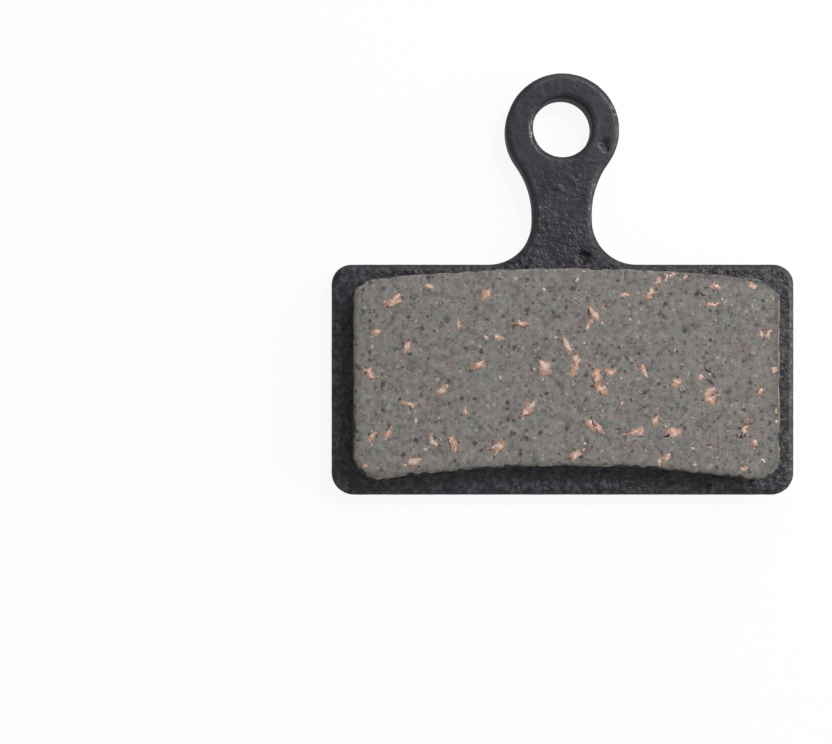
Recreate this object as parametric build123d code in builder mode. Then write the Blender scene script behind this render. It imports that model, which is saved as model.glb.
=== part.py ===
"""Bicycle disc brake pad: a stamped steel backing plate with a pin eye, and the friction block moulded onto it.

The pad lies on its back, as it comes to rest on a bench. The origin is the middle of the plate's back face,
where the brake piston pushes. +X runs along the pad's width, +Y towards the pin eye and +Z out of the friction
face, towards the rotor. All sizes are in millimetres and degrees.
"""

import os

from build123d import *

# Backing plate: the stamped outline
plate_width = 29.0
plate_height = 14.45
plate_thickness = 1.8
plate_top_corner_radius = 1.25
plate_bottom_corner_radius = 1.4

# Pin eye and the neck that carries it above the plate
eye_rise = 8.45
eye_radius = 3.57
pin_hole_diameter = 3.7
pin_hole_rise = 0.15
neck_width = 3.7
neck_shoulder_radius = 5.35
neck_flare_radius = 2.8

# Edges of the stamping: rolled over on the side where the punch entered, broken on the other
die_roll_radius = 0.3
back_edge_break = 0.15

# Keying holes, which lock the friction compound to the plate
key_hole_diameter = 4.4
key_hole_spacing = 13.65
key_hole_drop = 7.1
plug_recess = 0.4

# Friction block: its foot on the plate, between two arcs that follow the rotor's track
block_width = 26.25
block_thickness = 2.2
block_top_border = 0.3
block_bottom_border = 1.85
block_top_arc_radius = 108.0
block_bottom_arc_radius = 79.0
block_top_corner_radius = 1.25
block_bottom_corner_radius = 1.6
block_draft = 2.5
block_edge_radius = 0.12

# Levels and places that follow from the sizes above
plate_top = plate_height / 2
plate_bottom = -plate_height / 2
eye_centre = plate_top + eye_rise
pin_hole_centre = eye_centre + pin_hole_rise
key_hole_centre = plate_top - key_hole_drop
plug_length = plate_thickness - plug_recess
block_top = plate_top - block_top_border
block_bottom = plate_bottom + block_bottom_border

os.makedirs("parts", exist_ok=True)

# Backing plate: one flat stamping, a rounded rectangle whose waisted neck ends in the pin eye
with BuildPart() as backing_plate:
    with BuildSketch() as plate_outline:
        Rectangle(plate_width, plate_height)
        fillet(plate_outline.vertices().group_by(Axis.Y)[-1], plate_top_corner_radius)
        fillet(plate_outline.vertices().group_by(Axis.Y)[0], plate_bottom_corner_radius)
        # The neck flares out where it leaves the plate
        with Locations((0, plate_top)):
            Rectangle(neck_width, eye_rise, align=(Align.CENTER, Align.MIN))
        fillet(plate_outline.vertices(Select.LAST).group_by(Axis.Y)[0], neck_flare_radius)
        # The eye runs into the neck in a long hollow curve on each side
        with Locations((0, eye_centre)):
            Circle(eye_radius)
        fillet(plate_outline.vertices(Select.LAST).group_by(Axis.Y)[0], neck_shoulder_radius)
    extrude(amount=plate_thickness)
    # The pin hole lies a little above the middle of the eye, so the ring is thicker towards the neck
    with Locations((0, pin_hole_centre, plate_thickness)):
        Hole(pin_hole_diameter / 2)
    # The punch rolls over the front edges of the outline and of the pin hole
    fillet(backing_plate.faces().sort_by(Axis.Z)[-1].edges(), die_roll_radius)
    # The keying holes keep a square front edge, which the compound fills
    with Locations((0, key_hole_centre, plate_thickness)):
        with GridLocations(key_hole_spacing, 1, 2, 1):
            Hole(key_hole_diameter / 2)
    chamfer(backing_plate.faces().sort_by(Axis.Z)[0].edges(), back_edge_break)

backing_plate.part.label = "backing_plate"
export_step(backing_plate.part, "parts/backing_plate.step")

# Friction block: moulded through the plate, so its two plugs are one piece with the wearing face
with BuildPart() as friction_block:
    # The foot is a strip of the rotor's track: convex along the top and hollow along the bottom
    with BuildSketch(Plane.XY.offset(plate_thickness)) as block_foot:
        Rectangle(block_width, plate_height)
        with Locations((0, block_top - block_top_arc_radius)):
            Circle(block_top_arc_radius, mode=Mode.INTERSECT)
        with Locations((0, block_bottom - block_bottom_arc_radius)):
            Circle(block_bottom_arc_radius, mode=Mode.SUBTRACT)
        fillet(block_foot.vertices().group_by(Axis.Y)[-1], block_top_corner_radius)
        fillet(block_foot.vertices().group_by(Axis.Y)[0], block_bottom_corner_radius)
    # The sides draw in towards the face, and grinding leaves a lightly broken edge round it
    extrude(amount=block_thickness, taper=block_draft)
    fillet(friction_block.faces().sort_by(Axis.Z)[-1].edges(), block_edge_radius)
    # Each plug fills its keying hole and stops short of the plate's back
    with BuildSketch(Plane.XY.offset(plate_thickness)):
        with Locations((0, key_hole_centre)):
            with GridLocations(key_hole_spacing, 1, 2, 1):
                Circle(key_hole_diameter / 2)
    extrude(amount=-plug_length)

friction_block.part.label = "friction_block"
export_step(friction_block.part, "parts/friction_block.step")
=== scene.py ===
"""Bicycle disc brake pad, dressed: the black coat on its backing plate, the ground face of its friction
block, the copper chips and dark fibres in that face, and the white table under soft lamps where it lies.
"""

import math
import random

import bmesh
import bpy
from mathutils import Matrix, Vector


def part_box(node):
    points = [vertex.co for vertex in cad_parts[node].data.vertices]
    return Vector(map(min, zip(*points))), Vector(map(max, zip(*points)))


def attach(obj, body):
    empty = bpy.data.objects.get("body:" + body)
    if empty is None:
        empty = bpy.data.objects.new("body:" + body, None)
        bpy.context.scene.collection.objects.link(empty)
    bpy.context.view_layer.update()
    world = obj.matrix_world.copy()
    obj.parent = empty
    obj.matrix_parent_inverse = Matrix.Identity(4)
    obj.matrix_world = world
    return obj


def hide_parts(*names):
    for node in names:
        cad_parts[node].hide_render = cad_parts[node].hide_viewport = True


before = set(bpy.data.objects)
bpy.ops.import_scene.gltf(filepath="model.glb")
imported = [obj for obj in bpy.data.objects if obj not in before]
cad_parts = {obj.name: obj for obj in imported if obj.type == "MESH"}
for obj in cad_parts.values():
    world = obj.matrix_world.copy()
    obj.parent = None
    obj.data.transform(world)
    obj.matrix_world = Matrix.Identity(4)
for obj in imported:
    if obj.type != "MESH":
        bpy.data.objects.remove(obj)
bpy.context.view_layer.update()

# Backing plate: a flat steel stamping 1.8 mm thick, with a waisted neck and a pin eye. It is sprayed and
# baked black once the friction block is on it. The coat lies smooth and satin on the back, where the piston
# presses, and comes out coarse, like fine orange peel, on the front and the edges.

MM = 0.001
plate_low, plate_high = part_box("backing_plate")
plate_front = plate_high.z
# The width in millimetres of the even quads that carry the relief
plate_quad = 0.12
weld_distance = 0.0001 * MM

# The coat's relief: fine lumps and grain, and slow swells under them that hardly show on the back
coat_lump_size = 0.34 * MM
coat_grain_size = 0.13 * MM
coat_bump_depth = 0.075 * MM
coat_swell_size = 0.7 * MM
coat_swell_depth = 0.012 * MM
coat_back_swell = 0.1
coat_rim_rings = 5

# Where the coat changes: in z above the back, in y towards the block, in y + x / 2 from cool to warm dust
coat_smooth_level = 0.15 * MM
coat_coarse_level = 0.6 * MM
coat_swell_level = 0.8 * MM
coat_fine_y = 15.0 * MM
coat_coarse_y = 6.5 * MM
coat_clean_y = 7.8 * MM
coat_dusty_y = 6.8 * MM
coat_cool_dust = -2.0 * MM
coat_warm_dust = 4.0 * MM

# Patterns in the coat: patch size, detail, raggedness, and the noise levels where they set in and are full
coat_rough_patches = (2.6 * MM, 2.0, 0.5, 0.35, 0.62)
coat_bloom_patches = (1.7 * MM, 4.0, 0.6, 0.30, 0.80)
coat_worn_patches = (1.5 * MM, 4.0, 0.6, 0.45, 0.68)
coat_dust_patches = (0.34 * MM, 4.0, 0.65, 0.46, 0.66)
coat_scuff_highlight_patches = (0.24 * MM, 3.0, 0.6, 0.52, 0.66)
coat_fleck_patches = (0.13 * MM, 1.0, 0.5, 0.72, 0.80)
# Craters: cell size, share of cells that hold one, reach in cells and softness
coat_craters = (1.3 * MM, 0.4, 0.17, 0.1)

# How strongly each mark colours the coat
coat_worn_strength = 0.4
coat_fleck_strength = 0.4
coat_scuff_highlight_strength = 0.6
coat_dust_strength = 0.4
coat_pock_shade_strength = 0.85

coat_black = (0.0060, 0.0054, 0.0078, 1)
coat_bloom = (0.0440, 0.0420, 0.0540, 1)
coat_worn = (0.110, 0.107, 0.112, 1)
coat_fleck_and_highlight = (0.24, 0.24, 0.245, 1)
coat_dust = (0.135, 0.118, 0.098, 1)
coat_haze = (0.110, 0.110, 0.118, 1)
coat_shine = 0.21
coat_roughness = 0.27
coat_grain_roughness = 0.12
coat_wall_roughness = 0.35
coat_rim_roughness = 0.14

# Stray blobs, and pocks where the height is below zero, which are also darkened with painted shade: x, y,
# reach and height in millimetres
coat_blobs = (
    (-0.31, 12.0, 0.22, 0.09), (0.69, 12.4, 0.17, 0.07), (1.32, 7.62, 0.56, -0.20),
    (2.5, 14.75, 0.30, -0.12), (2.75, 14.5, 0.24, -0.11), (2.7, 14.9, 0.26, -0.10),
    (2.62, 14.62, 0.14, 0.05), (-2.4, 7.9, 0.24, 0.06), (2.9, 8.0, 0.24, 0.06),
    (13.9, -5.6, 0.30, 0.06), (9.2, -6.75, 0.26, 0.07),
)
# Stretches of the rims on the lit side, scuffed and given a painted highlight: x, y and reach in millimetres
coat_scuffs_and_highlights = (
    (1.9, 11.2, 2.2), (-1.9, 15.6, 1.7), (-1.8, 15.4, 1.1), (3.3, 16.4, 2.0), (14.4, 1.0, 4.0),
)


class Wire:
    """One output socket of a node tree. Arithmetic on wires adds Math nodes to the tree."""

    def __init__(self, tree, socket=None):
        self.tree = tree
        self.socket = socket

    def node(self, kind, settings=None, sockets=None, output=0):
        """Adds one node: its type, its settings, then the values or links of its sockets."""
        made = self.tree.nodes.new(kind)
        for name, value in (settings or {}).items():
            setattr(made, name, value)
        for key, value in (sockets or {}).items():
            for each in value if isinstance(value, list) else [value]:
                if isinstance(each, Wire):
                    self.tree.links.new(each.socket, made.inputs[key])
                else:
                    made.inputs[key].default_value = each
        return Wire(self.tree, made.outputs[output] if made.outputs else None)

    def other(self, output):
        """Another output of the same node."""
        return Wire(self.tree, self.socket.node.outputs[output])

    def maths(self, operation, first, second):
        return self.node("ShaderNodeMath", {"operation": operation}, {0: first, 1: second})

    def __add__(self, value):
        return self.maths("ADD", self, value)

    def __sub__(self, value):
        return self.maths("SUBTRACT", self, value)

    def __rsub__(self, value):
        return self.maths("SUBTRACT", value, self)

    def __mul__(self, value):
        return self.maths("MULTIPLY", self, value)

    def __rtruediv__(self, value):
        return self.maths("DIVIDE", value, self)

    def __gt__(self, value):
        return self.maths("GREATER_THAN", self, value)

    def __lt__(self, value):
        return self.maths("LESS_THAN", self, value)

    __radd__ = __add__
    __rmul__ = __mul__


def rise(value, low, high):
    """0 at low, 1 at high and a smooth step between them."""
    sockets = {"Value": value, "From Min": low, "From Max": high}
    return value.node("ShaderNodeMapRange", {"interpolation_type": "SMOOTHSTEP"}, sockets)


def noise(place, size, detail=2.0, roughness=0.5, output="Fac"):
    """Cloudy noise from 0 to 1 whose lumps are about as wide as size."""
    sockets = {"Vector": place, "Scale": 1 / size, "Detail": detail, "Roughness": roughness}
    return place.node("ShaderNodeTexNoise", None, sockets, output)


def patches(place, size, detail, roughness, low, high):
    """Cloudy noise cut into patches: 0 where it is below low and 1 where it is above high."""
    return rise(noise(place, size, detail, roughness), low, high)


def part(vector, axis):
    """One of a vector's three numbers."""
    return vector.node("ShaderNodeSeparateXYZ", None, {"Vector": vector}, axis)


def vector_maths(operation, first, second):
    """Adds, subtracts or multiplies two vectors, or scales the first by a number."""
    sockets = {0: first, "Scale" if operation == "SCALE" else 1: second}
    return first.node("ShaderNodeVectorMath", {"operation": operation}, sockets)


def flat(vector):
    """A vector without its height."""
    return vector_maths("MULTIPLY", vector, (1, 1, 0))


def length(vector):
    return vector.node("ShaderNodeVectorMath", {"operation": "LENGTH"}, {0: vector}, "Value")


def centred(colour):
    """A noise colour as a vector that points any way from zero."""
    return vector_maths("SUBTRACT", colour, (0.5, 0.5, 0.5))


def geometry_tree(name, sizes):
    """An empty tree for a shape, with a named number input for each size, and wires from its inputs."""
    tree = bpy.data.node_groups.new(name, "GeometryNodeTree")
    tree.interface.new_socket("Geometry", in_out="OUTPUT", socket_type="NodeSocketGeometry")
    tree.interface.new_socket("Geometry", in_out="INPUT", socket_type="NodeSocketGeometry")
    for size in sizes:
        tree.interface.new_socket(size, in_out="INPUT", socket_type="NodeSocketFloat")
    given = tree.nodes.new("NodeGroupInput")
    return {socket.name: Wire(tree, socket) for socket in given.outputs if socket.name}


def end_tree(shape, material):
    """Realizes what the tree made, gives it its material and ends the tree."""
    shape = shape.node("GeometryNodeRealizeInstances", None, {"Geometry": shape})
    shape = shape.node("GeometryNodeSetMaterial", None, {"Geometry": shape, "Material": material})
    shape.node("NodeGroupOutput", None, {"Geometry": shape})
    return shape.tree


def made_plain(piece):
    """Turns what the piece's modifiers make into its own plain mesh, and takes the modifiers off."""
    graph = bpy.context.evaluated_depsgraph_get()
    evaluated = piece.evaluated_get(graph)
    mesh = bpy.data.meshes.new_from_object(evaluated, preserve_all_data_layers=True, depsgraph=graph)
    piece.modifiers.clear()
    piece.data = mesh
    mesh.shade_smooth()
    return piece


def grown(piece, tree, sizes):
    """Runs a tree on the piece, with its inputs set, and keeps the plain result."""
    modifier = piece.modifiers.new(tree.name, "NODES")
    modifier.node_group = tree
    for item in tree.interface.items_tree:
        if item.in_out == "INPUT" and item.name in sizes:
            modifier[item.identifier] = sizes[item.name]
    return made_plain(piece)


def fine_copy(node, name, quad):
    """A closed copy of a solid in even quads, which are fine enough to carry its finish's relief."""
    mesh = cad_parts[node].data.copy()
    joined = bmesh.new()
    joined.from_mesh(mesh)
    bmesh.ops.remove_doubles(joined, verts=joined.verts, dist=weld_distance)
    joined.to_mesh(mesh)
    joined.free()
    mesh.materials.clear()
    # The quads are made at a thousand times the size, because they can't be this small
    mesh.transform(Matrix.Scale(1 / MM, 4))
    piece = bpy.data.objects.new(name, mesh)
    bpy.context.scene.collection.objects.link(piece)
    remesh = piece.modifiers.new("even_quads", "REMESH")
    remesh.mode = "VOXEL"
    remesh.voxel_size = quad
    made_plain(piece)
    piece.data.transform(Matrix.Scale(MM, 4))
    return piece


def moved(shape, offset):
    """Moves each point of a shape by its own offset."""
    return shape.node("GeometryNodeSetPosition", None, {"Geometry": shape, "Offset": offset})


def stored(shape, name, value):
    """A shape whose points carry a named value, for its material to read."""
    settings = {"data_type": "FLOAT", "domain": "POINT"}
    sockets = {"Geometry": shape, "Name": name, "Value": value}
    return shape.node("GeometryNodeStoreNamedAttribute", settings, sockets)


def outward(shape, normal, rings):
    """The way out of the nearest side, which fades over that many rings of quads into a flat face."""
    sockets = {"Value": flat(normal), "Iterations": rings}
    return shape.node("GeometryNodeBlurAttribute", {"data_type": "FLOAT_VECTOR"}, sockets)


def near(place, x, y, reach):
    """1 beside a point of the pad, given in millimetres, and 0 beyond a ragged reach round it."""
    lump_size = 0.8 * reach * MM
    raggedness = 1.2 * reach * MM
    highlit_core = 0.3 * reach * MM
    apart = flat(vector_maths("SUBTRACT", place, (x * MM, y * MM, 0)))
    ragged = (noise(place, lump_size) - 0.5) * raggedness
    return rise(length(apart) + ragged, reach * MM, highlit_core)


def surface(name):
    """A new material, its Principled shader and a wire that gives places on the piece."""
    material = bpy.data.materials.new(name)
    material.use_nodes = True
    shader = material.node_tree.nodes["Principled BSDF"]
    place = Wire(material.node_tree).node("ShaderNodeTexCoord", None, None, "Object")
    return material, shader, place


def feed(shader, sockets):
    """Links wires to the shader, or sets its own values."""
    for name, value in sockets.items():
        if isinstance(value, Wire):
            value.tree.links.new(value.socket, shader.inputs[name])
        else:
            shader.inputs[name].default_value = value


def mixed(share, first, second):
    """A colour that goes from first to second as share goes from 0 to 1."""
    # Inputs 6 and 7 and output 2 are the node's sockets for colours
    return share.node("ShaderNodeMix", {"data_type": "RGBA"}, {0: share, 6: first, 7: second}, 2)


def bumped(height, depth):
    """A normal that follows a height from 0 to 1, depth metres deep."""
    return height.node("ShaderNodeBump", None, {"Height": height, "Distance": depth})


def carried(place, name):
    """A value that the mesh itself carries from point to point."""
    return place.node("ShaderNodeAttribute", {"attribute_name": name}, None, "Fac")


def specks(place, size, share, radius, softness):
    """Scattered ragged specks: a share of cells of about that size hold one, up to radius cells wide."""
    # A finer noise bends the cells, so that no speck comes out round
    bend_size = 0.45 * size
    bend_reach = 0.8 * size
    bend = centred(noise(place, bend_size, 2.0, 0.6, "Color"))
    bent_place = vector_maths("ADD", place, vector_maths("SCALE", bend, bend_reach))
    sockets = {"Vector": bent_place, "Scale": 1 / size}
    cells = place.node("ShaderNodeTexVoronoi", None, sockets, "Distance")
    chance = place.node("ShaderNodeSeparateColor", None, {"Color": cells.other("Color")}, "Red")
    reach = (chance - (1 - share)) * (radius / share)
    return rise(reach - cells, -0.4 * softness, softness)


def coat_finish(place):
    """Colour, roughness and height of the baked coat: coarse above the plate's back, smooth on it."""
    # Where on the pad a point lies
    x = part(place, "X")
    y = part(place, "Y")
    off_back = rise(part(place, "Z"), coat_smooth_level, coat_coarse_level)
    near_block = rise(y, coat_fine_y, coat_coarse_y)
    wall = carried(place, "wall")
    near_rim = carried(place, "rim")
    rim = rise(near_rim, 0.1, 0.4)
    inside_rim = rise(near_rim, 0.0, 0.12) * rise(near_rim, 0.6, 0.15) * off_back * (1 - 0.6 * near_block)
    front = (1 - wall) * off_back
    # How coarse the coat is there
    rough_patch = 0.5 + 0.5 * patches(place, *coat_rough_patches)
    coarse = off_back * rough_patch * (0.5 + 1.8 * near_block) * (1 - 0.5 * wall)
    lumps = noise(place, coat_lump_size, 2.0, 0.55)
    grain = noise(place, coat_grain_size)
    craters = specks(place, *coat_craters) * off_back
    # The black itself, clouded, and mottled in step with its lumps: painted shade in their hollows and
    # painted highlight on their tops
    bloom = 0.5 + (patches(place, *coat_bloom_patches) - 0.5) * (0.25 + 0.75 * off_back)
    lump_shade_and_highlight = 0.5 + (rise(lumps, 0.36, 0.66) - 0.5) * coarse * (0.5 - 0.4 * wall)
    colour = mixed(bloom * 0.4 + lump_shade_and_highlight * 0.6, coat_black, coat_bloom)
    # What marks it: worn bands inside the rims, flecks, scuffs on the lit rims with a painted highlight,
    # dust near the block, and painted shade in the pocks
    worn = inside_rim * patches(place, *coat_worn_patches)
    colour = mixed(worn * coat_worn_strength, colour, coat_worn)
    flecks = patches(place, *coat_fleck_patches) * coarse * (1 - wall)
    # The scuffs lie only on rims that face the lamps, and their pale colour is partly wear and partly a
    # painted highlight
    scuffs_and_highlights = patches(place, *coat_scuff_highlight_patches) * rim * front * carried(place, "scuff")
    colour = mixed(flecks * coat_fleck_strength + scuffs_and_highlights * coat_scuff_highlight_strength, colour, coat_fleck_and_highlight)
    dust = patches(place, *coat_dust_patches) * front * rise(y, coat_clean_y, coat_dusty_y)
    dust_colour = mixed(rise(y + x * 0.5, coat_cool_dust, coat_warm_dust), coat_haze, coat_dust)
    colour = mixed(dust * coat_dust_strength, colour, dust_colour)
    # Painted shade: the pocks are darkened towards the bare black
    pock_shade = rise(carried(place, "pock"), 0.1, 0.7)
    colour = mixed(pock_shade * coat_pock_shade_strength, colour, coat_black)
    roughness = coat_roughness + grain * coat_grain_roughness + wall * coat_wall_roughness
    roughness = roughness + rim * near_block * coat_rim_roughness
    relief = (0.08 + 0.92 * coarse) * (1 - 0.5 * rim)
    height = (lumps * 0.76 + grain * 0.24) * relief - craters * 0.45
    return colour, roughness, height


def black_coat():
    material, shader, place = surface("black_coat")
    colour, roughness, height = coat_finish(place)
    feed(shader, {
        "Base Color": colour,
        "Roughness": roughness,
        "Specular IOR Level": coat_shine,
        "Normal": bumped(height, coat_bump_depth),
    })
    return material


def coat_relief():
    """Slow swells in the coat, and stray blobs and pocks."""
    given = geometry_tree("coat_relief", ("Swell size", "Swell depth"))
    shape = given["Geometry"]
    place = shape.node("GeometryNodeInputPosition")
    normal = shape.node("GeometryNodeInputNormal")
    front = rise(part(normal, "Z"), 0.7, 0.9)
    coarse = rise(part(place, "Z"), coat_smooth_level, coat_swell_level)
    # On the back the swells only sink in, so that the pad still lies flat
    swells = noise(place, given["Swell size"])
    depth = (swells - 0.5) * 2 * coarse + (swells - 1) * coat_back_swell * (1 - coarse)
    depth = depth * given["Swell depth"]
    for x, y, reach, blob_height in coat_blobs:
        depth = depth + near(place, x, y, reach) * front * (blob_height * MM)
    # Where the pocks lie, for their painted shade
    shaded_pocks = sum(near(place, x, y, reach) for x, y, reach, blob_height in coat_blobs if blob_height < 0)
    values = {
        "scuff": sum(near(place, x, y, reach) for x, y, reach in coat_scuffs_and_highlights),
        "pock": shaded_pocks * front,
        "wall": rise(length(flat(normal)), 0.75, 0.97),
        "rim": length(outward(shape, normal, coat_rim_rings)),
    }
    for name, value in values.items():
        shape = stored(shape, name, value)
    return end_tree(moved(shape, vector_maths("SCALE", normal, depth)), black_coat())


coated_plate = fine_copy("backing_plate", "coated_plate", plate_quad)
grown(coated_plate, coat_relief(), {
    "Swell size": coat_swell_size,
    "Swell depth": coat_swell_depth,
})
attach(coated_plate, "root")
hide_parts("backing_plate")

# Friction block: resin, mineral grit and metal chips, moulded hot onto the plate and through its keying
# holes. Its face is ground flat and bare, its edge crumbles a little, most along the hollow bottom, and the
# coat covers its sides and the rough ends of its two plugs.

block_low, block_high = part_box("friction_block")
face_level = block_high.z
block_quad = 0.1

# The block's relief: how wide its marks are and how deep
face_grain_size = 0.22 * MM
face_grain_depth = 0.007 * MM
face_pit_patches = (0.34 * MM, 2.0, 0.5, 0.64, 0.72)
face_pit_depth = 0.05 * MM
wall_relief_size = 0.6 * MM
wall_relief_depth = 0.03 * MM
plug_relief_size = 0.42 * MM
plug_relief_depth = 0.10 * MM
edge_crumble_patches = (0.9 * MM, 4.0, 0.65, 0.40, 0.80)
edge_crumble_depth = 0.42 * MM
edge_rings = 4
border_rings = 40
# Knocked corners of the face: x, y and reach in millimetres, and the loss in crumble depths
knocked_corners = ((12.75, 6.1, 1.2, 1.5), (-12.6, 6.2, 0.6, 1.0))

compound_warm = (0.222, 0.204, 0.190, 1)
compound_green = (0.196, 0.196, 0.176, 1)
compound_mauve = (0.220, 0.194, 0.189, 1)
compound_pale = (0.47, 0.455, 0.43, 1)
compound_dark = (0.050, 0.046, 0.043, 1)
compound_brown = (0.27, 0.165, 0.115, 1)
compound_tan = (0.42, 0.35, 0.26, 1)
compound_roughness = 0.80
compound_bump = 0.40
compound_grit_size = 0.32 * MM
compound_cloud_size = 0.6 * MM
compound_tint_patches = (1.3 * MM, 4.0, 0.6, 0.38, 0.62)
compound_dust_patches = (0.15 * MM, 1.0, 0.5, 0.68, 0.82)
overspray_patches = (0.4 * MM, 3.0, 0.6, 0.40, 0.60)
darkening_from_x = 6.5 * MM
darkening_to_x = 9.0 * MM
# Specks: cell size in millimetres, share of cells that hold one, reach in cells, softness, strength, colour
compound_specks = (
    (0.78, 0.22, 0.38, 0.16, 0.50, compound_brown),
    (0.66, 0.60, 0.34, 0.15, 0.65, compound_dark),
    (0.40, 0.50, 0.42, 0.14, 0.85, compound_dark),
    (0.25, 0.45, 0.42, 0.16, 0.65, compound_dark),
    (0.44, 0.18, 0.34, 0.16, 0.50, compound_pale),
    (0.24, 0.25, 0.40, 0.16, 0.45, compound_pale),
)


def friction_compound():
    material, shader, place = surface("friction_compound")
    top = carried(place, "top")
    border = carried(place, "border")
    # The ground compound: tinted resin, grit and specks, and painted shade in its pits
    grit = noise(place, compound_grit_size, 3.0, 0.6)
    cloud = noise(place, compound_cloud_size, 3.0)
    colour = mixed(patches(place, *compound_tint_patches), compound_warm, compound_green)
    colour = mixed(rise(cloud, 0.45, 0.65), colour, compound_mauve)
    colour = mixed(rise(grit, 0.56, 0.30) * 0.50, colour, compound_dark)
    colour = mixed(rise(grit, 0.56, 0.78) * 0.35, colour, compound_pale)
    for size, share, radius, softness, strength, speck_colour in compound_specks:
        speck = specks(place, size * MM, share, radius, softness)
        colour = mixed(speck * strength, colour, speck_colour)
    colour = mixed(patches(place, *compound_dust_patches) * 0.5, colour, compound_pale)
    # Painted shade: the pits are darkened
    colour = mixed(carried(place, "pit") * 0.6, colour, compound_dark)
    # Its border is darker, along the top only towards the knocked corner, and tan where the edge has
    # crumbled
    corner_darkening = top * rise(part(place, "X"), darkening_from_x, darkening_to_x)
    edge_darkening = rise(border, 0.0, 0.45) * (1 - top) * 0.4 + rise(border, 0.05, 0.35) * corner_darkening * 0.4
    colour = mixed(edge_darkening, colour, compound_dark)
    crumbled = carried(place, "edge") * rise(cloud, 0.48, 0.62) * (1 - top)
    colour = mixed(crumbled * 0.6, colour, compound_tan)
    # The coat covers the rest, and its spray reaches a little over the top edge
    coat, sides_roughness, coat_height = coat_finish(place)
    overspray = carried(place, "rim") * patches(place, *overspray_patches) * top
    bare = rise(carried(place, "ground") + (grit - 0.5) * 0.5 - overspray * 0.5, 0.30, 0.55)
    height = coat_height * (1 - bare) + grit * bare * compound_bump
    feed(shader, {
        "Base Color": mixed(bare, coat, colour),
        "Roughness": sides_roughness + bare * (compound_roughness - sides_roughness),
        "Specular IOR Level": coat_shine,
        "Normal": bumped(height, coat_bump_depth),
    })
    return material


def waves(place, size, detail=2.0, roughness=0.5):
    """Cloudy noise from -1 to 1."""
    return (noise(place, size, detail, roughness) - 0.5) * 2


def below_face(height, deep, shallow):
    """0 where a point lies deep below the face, in millimetres, and 1 from the shallow depth upwards."""
    return rise(height, face_level - deep * MM, face_level - shallow * MM)


def block_relief():
    """Grinding grain and pits on the face, moulding marks on the sides, a crumbled edge, rough plug ends."""
    depths = ("Grain depth", "Pit depth", "Wall depth", "Crumble depth", "Plug depth")
    given = geometry_tree("block_relief", depths)
    shape = given["Geometry"]
    place = shape.node("GeometryNodeInputPosition")
    normal = shape.node("GeometryNodeInputNormal")
    up = part(normal, "Z")
    towards_eye = part(place, "Y")
    height = part(place, "Z")
    # Where the face, the bare ground edge, the coated sides and the plug ends are
    high = below_face(height, 0.3, 0.15)
    face = rise(up, 0.93, 0.99) * high
    ground = rise(up, 0.2, 0.6) * high
    edge = rise(up, 0.25, 0.55) * rise(up, 0.96, 0.8) * high
    wall = rise(height, plate_front + 0.1 * MM, plate_front + 0.3 * MM) * (1 - face)
    plug_end = rise(up, -0.8, -0.95) * (height < plate_front - 0.2 * MM)
    # Relief that stands in or out of the surface
    pit = patches(place, *face_pit_patches) * face
    relief = face * waves(place, face_grain_size) * given["Grain depth"] - pit * given["Pit depth"]
    relief = relief + wall * waves(place, wall_relief_size) * given["Wall depth"]
    relief = relief + plug_end * waves(place, plug_relief_size, 3.0, 0.6) * given["Plug depth"]
    offset = vector_maths("SCALE", normal, relief)
    # Crumbs lost from the edge of the face, so that its outline wanders inwards
    out = outward(shape, normal, edge_rings)
    lost = patches(place, *edge_crumble_patches)
    lost = lost * below_face(height, 0.9, 0.15)
    lost = lost * (0.4 + 0.6 * rise(towards_eye, 0, block_low.y * 0.7))
    knock = sum(near(place, x, y, reach) * loss for x, y, reach, loss in knocked_corners)
    lost = lost + knock * below_face(height, 1.5, 0.4)
    crumble = vector_maths("SCALE", out, lost * given["Crumble depth"] * -1)
    values = {
        "ground": ground,
        "edge": edge,
        "pit": pit,
        "rim": length(out),
        "border": length(outward(shape, normal, border_rings)),
        "wall": wall,
        "top": rise(towards_eye, block_high.y * 0.55, block_high.y * 0.8),
    }
    for name, value in values.items():
        shape = stored(shape, name, value)
    return end_tree(moved(shape, vector_maths("ADD", offset, crumble)), friction_compound())


ground_block = fine_copy("friction_block", "ground_block", block_quad)
grown(ground_block, block_relief(), {
    "Grain depth": face_grain_depth,
    "Pit depth": face_pit_depth,
    "Wall depth": wall_relief_depth,
    "Crumble depth": edge_crumble_depth,
    "Plug depth": plug_relief_depth,
})
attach(ground_block, "root")
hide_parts("friction_block")

# Copper chips: shavings stirred into the compound before it is moulded, and cut off almost level with the
# face when it is ground. Each leaves a brown smear with a few torn slivers in it, whose pale cores are a
# painted highlight, and a crumb beside it. The smallest show as one pale flake with the same painted
# highlight, and more of those are strewn between.

chip_seed = 7
chip_thickness = 0.04 * MM
chip_sink = 0.006 * MM
chip_tear = 0.7
chip_tear_size = 0.26 * MM
chip_bump_depth = 0.02 * MM
chip_torn_size = 0.22 * MM
smear_spread = 2.1
smear_height = 0.44
smear_tint = -1
small_chip_tint = 0.3
slivers_per_chip = 4
crumbs_per_chip = 1

# How far slivers and crumbs lie from a chip's middle, and how large they are, in shares of the chip's size
sliver_apart = (0.0, 0.50)
sliver_size = (0.45, 0.85)
crumb_apart = (0.7, 1.1)
crumb_size = (0.2, 0.4)
sliver_turn = 40

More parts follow.
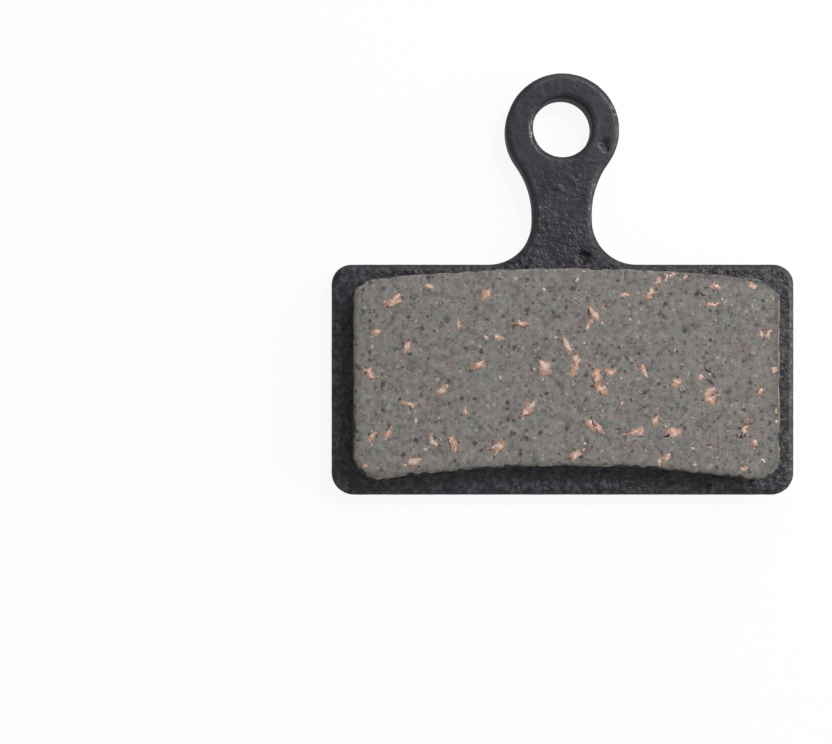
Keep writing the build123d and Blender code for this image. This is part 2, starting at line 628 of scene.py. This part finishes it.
# Chips: x, y, length and width in millimetres, and turn in degrees
big_chips = (
    (-2.8, 3.4, 0.74, 0.25, -8), (1.7, 4.0, 0.68, 0.31, -55), (1.3, 3.3, 0.55, 0.21, 60),
    (0.0, 2.1, 0.74, 0.31, -60), (-1.4, 0.7, 0.86, 0.43, -75), (0.5, 0.8, 1.04, 0.31, 85),
    (1.8, 0.2, 0.80, 0.37, -70), (2.1, -0.5, 0.80, 0.43, -35), (2.6, 0.5, 0.49, 0.31, 10),
    (-2.3, -1.7, 0.86, 0.43, 60), (5.1, 5.3, 0.61, 0.31, 50), (6.1, 6.3, 0.55, 0.25, 65),
    (6.5, 6.4, 0.55, 0.25, -45), (5.6, 6.1, 0.55, 0.25, 60), (3.5, 5.2, 0.49, 0.25, 20),
    (9.1, 5.7, 0.37, 0.31, 0), (8.9, 4.6, 0.80, 0.25, -5), (11.3, 5.7, 0.49, 0.25, -40),
    (11.9, 2.8, 0.49, 0.25, -70), (12.3, 2.8, 0.43, 0.18, 75), (4.6, 0.7, 0.80, 0.28, -50),
    (6.7, -0.1, 0.49, 0.37, 90), (8.15, 0.15, 0.36, 0.22, 70), (8.7, -0.7, 0.55, 0.31, 25),
    (8.8, -1.2, 0.74, 0.49, -30), (12.7, 0.6, 0.55, 0.25, 60), (11.8, -0.7, 0.61, 0.25, 60),
    (5.4, -2.5, 0.49, 0.25, 65), (6.5, -3.2, 0.86, 0.43, -20), (10.9, -3.0, 0.80, 0.31, 60),
    (11.4, -3.8, 0.49, 0.25, -50), (5.7, -4.9, 0.61, 0.25, 85), (6.1, -4.7, 0.43, 0.25, 45),
    (10.8, -5.4, 0.49, 0.25, 10), (1.4, -2.7, 0.55, 0.25, -55), (1.9, -2.9, 0.61, 0.25, -60),
    (4.2, -3.2, 0.74, 0.31, 5), (0.5, -4.6, 0.80, 0.49, 45), (-4.2, -4.1, 0.80, 0.43, 60),
    (-6.9, -3.9, 0.74, 0.37, -60), (-8.2, -3.7, 0.55, 0.31, -45), (-9.3, -5.0, 0.80, 0.43, 15),
    (-11.9, -3.5, 0.49, 0.25, 60), (-10.9, -3.2, 0.61, 0.25, 60), (12.2, 5.4, 0.62, 0.14, -50),
    (-12.1, 0.4, 0.74, 0.31, -40), (-10.6, 4.8, 0.80, 0.37, 30), (-9.8, 1.9, 0.61, 0.31, 75),
    (-8.4, 5.7, 0.49, 0.25, -20), (-7.7, -0.6, 0.86, 0.37, 55), (-6.6, 3.4, 0.55, 0.25, -65),
    (-5.4, 0.9, 0.74, 0.31, 10), (-4.9, 5.2, 0.61, 0.31, 50), (-4.1, 2.6, 0.49, 0.25, -35),
    (-11.6, 2.9, 0.43, 0.31, 0), (-6.2, -1.9, 0.49, 0.25, 80), (-9.6, -1.4, 0.61, 0.25, -15),
    (12.85, -2.0, 0.46, 0.18, -60), (12.75, -2.5, 0.34, 0.16, 70), (-12.3, -5.2, 0.22, 0.18, 20),
)
small_chips = (
    (-1.25, 6.62, 0.30, 0.20, 10), (1.04, 6.62, 0.30, 0.18, 0), (0.63, 6.10, 0.34, 0.26, 40),
    (-1.40, 5.50, 0.32, 0.26, -40), (6.30, 6.36, 0.52, 0.32, -35), (7.22, 6.28, 0.36, 0.24, 50),
    (3.86, 3.68, 0.28, 0.20, 60), (6.60, 1.80, 0.30, 0.14, 80), (1.10, -3.90, 0.28, 0.20, 20),
    (7.80, -5.20, 0.36, 0.26, 0), (11.95, -4.90, 0.28, 0.22, 0), (12.60, 5.00, 0.30, 0.12, -50),
)

copper_cream_highlight = (0.57, 0.440, 0.355, 1)
copper_rose_highlight = (0.49, 0.390, 0.360, 1)
copper_bright = (0.42, 0.235, 0.155, 1)
copper_dull = (0.33, 0.245, 0.215, 1)
copper_deep = (0.215, 0.140, 0.110, 1)
copper_smear = (0.242, 0.187, 0.152, 1)
copper_metal = 0.25

# One flake: an oval that shrinks until it clears the edge of the face, and is left out below a least size
flake_segments = 14
flake_rings = 4
flake_edge_gap = 0.08 * MM
flake_least_fit = 0.3
# How far down the block's sides count as the edge, and the probe that looks for the face below a point
edge_side_depth = 0.6 * MM
face_probe_start = 0.5 * MM
face_probe_length = 0.6 * MM

# What a point carries after its x and y, and the unit that it is written in
point_values = {"length": MM, "width": MM, "turn": math.radians(1), "tint": 1, "height": 1}


def copper():
    material, shader, place = surface("copper_chip")
    torn_grain = noise(place, chip_torn_size, 3.0, 0.55)
    from_core = carried(place, "rim") + (torn_grain - 0.5) * 1.2
    tint = carried(place, "tint")
    # Painted highlight: the core of each sliver and pale flake is cream or rose, going over into the
    # copper's own colour towards its sides
    highlit_core = mixed(tint, copper_cream_highlight, copper_rose_highlight)
    sliver = mixed(rise(from_core, 0.1, 0.8), highlit_core, mixed(tint, copper_bright, copper_dull))
    smear = mixed(rise(from_core, 0.3, 0.7), copper_bright, copper_deep)
    smear = mixed(rise(from_core, 0.7, 1.0), smear, copper_smear)
    feed(shader, {
        "Base Color": mixed(tint < 0, sliver, smear),
        "Metallic": copper_metal,
        "Roughness": 0.45 + torn_grain * 0.2,
        "Normal": bumped(torn_grain, chip_bump_depth),
    })
    return material


def bare_points(name, rows):
    """Points on the ground face that carry a length, width, turn, tint and share of full height each."""
    mesh = bpy.data.meshes.new(name)
    mesh.from_pydata([(x * MM, y * MM, face_level) for x, y, *_ in rows], [], [])
    for column, (value_name, unit) in enumerate(point_values.items(), 2):
        numbers = [row[column] * unit for row in rows]
        mesh.attributes.new(value_name, "FLOAT", "POINT").data.foreach_set("value", numbers)
    piece = bpy.data.objects.new(name, mesh)
    bpy.context.scene.collection.objects.link(piece)
    return piece


def smears(rows):
    """The brown smear that each chip lies in."""
    made = []
    for x, y, along, across, turn in rows:
        made.append((x, y, along * smear_spread, across * smear_spread, turn, smear_tint, smear_height))
    return made


def pieces_near(rows, count, chance, apart, size):
    """A few pieces at each chip, with their distance and size drawn from shares of the chip's own."""
    made = []
    for x, y, along, across, turn in rows:
        for _ in range(count):
            way = chance.uniform(0, 2 * math.pi)
            distance = chance.uniform(*apart)
            step = Vector((distance * along * math.cos(way), distance * across * math.sin(way)))
            step.rotate(Matrix.Rotation(math.radians(turn), 2))
            share = chance.uniform(*size)
            tilt = turn + chance.uniform(-sliver_turn, sliver_turn)
            made.append((x + step.x, y + step.y, along * share, across * share, tilt, chance.random(), 1))
    return made


def read(start, name):
    """A number that the points carry."""
    return start.node("GeometryNodeInputNamedAttribute", {"data_type": "FLOAT"}, {"Name": name})


def strewn_points(given, block):
    """Points scattered over the ground face, clear of its edge, each with its own drawn values."""
    start = given["Geometry"]
    strewn = start.node("GeometryNodeDistributePointsOnFaces", {"distribute_method": "POISSON"}, {
        "Mesh": block,
        "Selection": (read(start, "ground") > 0.95) * (read(start, "rim") < 0.02),
        "Distance Min": given["Apart"],
        "Density Max": given["Per square metre"],
        "Seed": chip_seed,
    })
    draws = {
        "length": (given["Shortest"], given["Longest"]),
        "turn": (0.0, math.pi),
        "tint": (0.5, 1.0),
        "height": (1.0, 1.0),
    }
    for seed, (drawn, (low, high)) in enumerate(draws.items(), chip_seed):
        # Inputs 2 and 3 and output 1 are the node's sockets for plain numbers
        sockets = {2: low, 3: high, "Seed": seed}
        value = start.node("FunctionNodeRandomValue", {"data_type": "FLOAT"}, sockets, 1)
        strewn = stored(strewn, drawn, value)
    return stored(strewn, "width", read(start, "length") * given["Slimness"])


def one_flake(start):
    """A small sphere, to be flattened, whose points know how near its rim they are, from 0 to 1."""
    sockets = {"Segments": flake_segments, "Rings": flake_rings, "Radius": 0.5}
    flake = start.node("GeometryNodeMeshUVSphere", None, sockets)
    place = start.node("GeometryNodeInputPosition")
    return stored(flake, "rim", length(flat(place)) * 2)


def fitted(points, block):
    """The points with room on the face for a flake, and the share of its size that clears the edge."""
    here = points.node("GeometryNodeInputPosition")
    high_side = (read(points, "ground") < 0.5) * (part(here, "Z") > face_level - edge_side_depth)
    sockets = {"Geometry": block, "Selection": high_side}
    sides = points.node("GeometryNodeSeparateGeometry", {"domain": "FACE"}, sockets)
    clear = points.node("GeometryNodeProximity", {"target_element": "FACES"}, {0: sides}, "Distance")
    fit = clear.maths("MINIMUM", (clear - flake_edge_gap) * 2 * (1 / read(points, "length")), 1)
    over_face = points.node("GeometryNodeRaycast", None, {
        "Target Geometry": block,
        "Source Position": vector_maths("ADD", here, (0, 0, face_probe_start)),
        "Ray Direction": (0, 0, -1),
        "Ray Length": face_probe_length,
    })
    sockets = {"Geometry": points, "Selection": over_face * (fit > flake_least_fit) < 0.5}
    return points.node("GeometryNodeDeleteGeometry", {"domain": "POINT"}, sockets), fit


def torn(flakes, given):
    """Flakes torn out of shape along the face, their tops and bottoms together, and sunk into it."""
    along_face = flat(flakes.node("GeometryNodeInputPosition"))
    tear = flat(centred(noise(along_face, given["Tear size"], output="Color")))
    tear = vector_maths("SCALE", tear, read(flakes, "length") * given["Tear"])
    drop = flakes.node("ShaderNodeCombineXYZ", None, {"Z": given["Sink"] * -1})
    return moved(flakes, vector_maths("ADD", tear, drop))


def inlaid(name, material):
    """Flakes laid in the ground face at the piece's own points and strewn between them."""
    sizes = (
        "Per square metre", "Apart", "Shortest", "Longest", "Slimness",
        "Thickness", "Sink", "Tear", "Tear size",
    )
    given = geometry_tree(name, sizes)
    start = given["Geometry"]
    block = start.node("GeometryNodeObjectInfo", None, {"Object": ground_block}, "Geometry")
    placed = start.node("GeometryNodeMeshToPoints", None, {"Mesh": start})
    sockets = {"Geometry": [placed, strewn_points(given, block)]}
    points, fit = fitted(start.node("GeometryNodeJoinGeometry", None, sockets), block)
    scale = {
        "X": read(start, "length") * fit,
        "Y": read(start, "width") * fit,
        "Z": read(start, "height") * given["Thickness"],
    }
    flakes = start.node("GeometryNodeInstanceOnPoints", None, {
        "Points": points,
        "Instance": one_flake(start),
        "Rotation": start.node("ShaderNodeCombineXYZ", None, {"Z": read(start, "turn")}),
        "Scale": start.node("ShaderNodeCombineXYZ", None, scale),
    })
    flakes = start.node("GeometryNodeRealizeInstances", None, {"Geometry": flakes})
    return end_tree(torn(flakes, given), material)


chance = random.Random(chip_seed)
slivers = pieces_near(big_chips, slivers_per_chip, chance, sliver_apart, sliver_size)
crumbs = pieces_near(big_chips, crumbs_per_chip, chance, crumb_apart, crumb_size)
pale_flakes = [(*row, small_chip_tint, 1) for row in small_chips]
copper_chips = bare_points("copper_chips", [*smears(big_chips), *slivers, *crumbs, *pale_flakes])
grown(copper_chips, inlaid("copper_inlay", copper()), {
    "Per square metre": 0.22 / MM**2,
    "Apart": 0.6 * MM,
    "Shortest": 0.12 * MM,
    "Longest": 0.40 * MM,
    "Slimness": 0.6,
    "Thickness": chip_thickness,
    "Sink": chip_sink,
    "Tear": chip_tear,
    "Tear size": chip_tear_size,
})
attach(copper_chips, "root")

# Dark fibres: short mineral strands in the compound, cut through where the face was ground, and dark flakes
# beside the larger chips that are painted shade for the gaps there. They are laid in the face in the same
# way as the chips, only slimmer, bent and almost black.

fibre_thickness = 0.06 * MM
fibre_sink = 0.010 * MM
fibre_tear = 0.8
fibre_tear_size = 0.6 * MM
fibre_worn_size = 0.2 * MM
fibre_bump_depth = 0.02 * MM
fibre_and_gap_shade_black = (0.028, 0.025, 0.023, 1)
fibre_tint = 0
gap_shades_per_chip = 1
gap_shade_apart = (0.6, 0.9)
gap_shade_size = (0.25, 0.45)
# Fibres: x, y, length and width in millimetres, and turn in degrees
fibre_rows = (
    (8.77, 0.50, 1.25, 0.19, -34), (8.73, -0.13, 0.85, 0.18, -50), (8.21, 5.28, 0.70, 0.14, -32),
    (4.2, -3.7, 0.45, 0.08, 30), (-3.4, -3.3, 0.60, 0.08, 70), (-9.0, 3.2, 0.70, 0.09, 15),
)


def dark_fibre_and_gap_shade():
    material, shader, place = surface("dark_fibre_and_gap_shade")
    worn = noise(place, fibre_worn_size)
    feed(shader, {
        "Base Color": mixed(rise(worn, 0.45, 0.8) * 0.6, fibre_and_gap_shade_black, compound_dark),
        "Roughness": 0.5 + worn * 0.3,
        "Normal": bumped(worn, fibre_bump_depth),
    })
    return material


fibres = [(*row, fibre_tint, 1) for row in fibre_rows]
# Painted shade: a near-black flake beside each big chip stands for the shade in the gap there
gap_shades = pieces_near(big_chips, gap_shades_per_chip, chance, gap_shade_apart, gap_shade_size)
dark_fibres = bare_points("dark_fibres", [*fibres, *gap_shades])
grown(dark_fibres, inlaid("fibre_and_gap_shade_inlay", dark_fibre_and_gap_shade()), {
    "Per square metre": 0.16 / MM**2,
    "Apart": 1.4 * MM,
    "Shortest": 0.18 * MM,
    "Longest": 0.55 * MM,
    "Slimness": 0.22,
    "Thickness": fibre_thickness,
    "Sink": fibre_sink,
    "Tear": fibre_tear,
    "Tear size": fibre_tear_size,
})
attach(dark_fibres, "root")

# Table and light: a white table top that keeps a faint shadow near the pad and goes over into the white room
# farther off. A soft key lamp hangs above, beyond the pin eye and to its right. A broad lamp low on the
# right and a weaker one low beyond the eye light the rolled edges.

table_reach = 3.0
table_white = (0.92, 0.92, 0.92, 1)
table_glow = 0.92
table_near = 0.05
table_far = 0.3
room_light = 0.21
white = (1, 1, 1, 1)


def seen_directly(tree):
    """1 for rays from the camera and for those that a shiny or clear surface sends on, 0 for the rest."""
    path = Wire(tree).node("ShaderNodeLightPath", None, None, "Is Camera Ray")
    sent_on = path.maths("MAXIMUM", path.other("Is Glossy Ray"), path.other("Is Transmission Ray"))
    return path.maths("MAXIMUM", path, sent_on)


def table_top():
    material = bpy.data.materials.new("table_top")
    material.use_nodes = True
    material.node_tree.nodes.clear()
    seen = seen_directly(material.node_tree)
    place = seen.node("ShaderNodeTexCoord", None, None, "Object")
    far = rise(length(place), table_near, table_far)
    lit = seen.node("ShaderNodeBsdfDiffuse", None, {"Color": table_white})
    glow = seen.node("ShaderNodeEmission", None, {"Color": white, "Strength": 1.0})
    glowing = seen * (table_glow + (1 - table_glow) * far)
    both = seen.node("ShaderNodeMixShader", None, {0: glowing, 1: lit, 2: glow})
    seen.node("ShaderNodeOutputMaterial", None, {"Surface": both})
    return material


def lamp(name, direction, distance, width, height, share):
    """An oval lamp aimed at the pad that gives share of the light a plainly lit colour needs."""
    direction = Vector(direction).normalized()
    made = bpy.data.objects.new(name, bpy.data.lights.new(name, "AREA"))
    made.data.shape = "ELLIPSE"
    made.data.size = width
    made.data.size_y = height
    made.data.energy = share * math.pi**2 * distance**2 / direction.z
    made.location = direction * distance
    made.rotation_euler = direction.to_track_quat("Z", "Y").to_euler()
    bpy.context.scene.collection.objects.link(made)


table_mesh = bpy.data.meshes.new("table")
table_corners = [(-1, -1), (1, -1), (1, 1), (-1, 1)]
table_points = [(x * table_reach, y * table_reach, plate_low.z) for x, y in table_corners]
table_mesh.from_pydata(table_points, [], [range(4)])
table_mesh.materials.append(table_top())
table = bpy.data.objects.new("table", table_mesh)
bpy.context.scene.collection.objects.link(table)

lamp("key_lamp", direction=(0.45, 0.50, 1.0), distance=0.30, width=0.07, height=0.07, share=0.41)
lamp("right_lamp", direction=(0.85, 0.10, 0.45), distance=0.30, width=0.16, height=0.18, share=0.31)
lamp("top_lamp", direction=(0.15, 0.85, 0.45), distance=0.30, width=0.16, height=0.18, share=0.08)

room = bpy.data.worlds.new("white_room")
room.use_nodes = True
bpy.context.scene.world = room
seen_room = seen_directly(room.node_tree)
feed(room.node_tree.nodes["Background"], {
    "Color": white,
    "Strength": room_light + seen_room * (1 - room_light),
})

# Camera: straight above the pad, where the photograph was taken from. The plate's middle falls at a known
# pixel, and its front face has a known scale there.

image_width = 832
image_height = 744
focal_length_px = 1400.0
plate_px_per_mm = 15.98
plate_middle_px = (562.95, 379.7)

camera = bpy.data.objects.new("camera", bpy.data.cameras.new("camera"))
camera.data.sensor_width = 36.0
camera.data.lens = camera.data.sensor_width * focal_length_px / image_width
camera.data.clip_start = 1 * MM
camera.location = (
    (image_width / 2 - plate_middle_px[0]) / plate_px_per_mm * MM,
    (plate_middle_px[1] - image_height / 2) / plate_px_per_mm * MM,
    plate_front + focal_length_px / plate_px_per_mm * MM,
)
bpy.context.scene.collection.objects.link(camera)
bpy.context.scene.camera = camera
bpy.context.scene.view_settings.view_transform = "Standard"
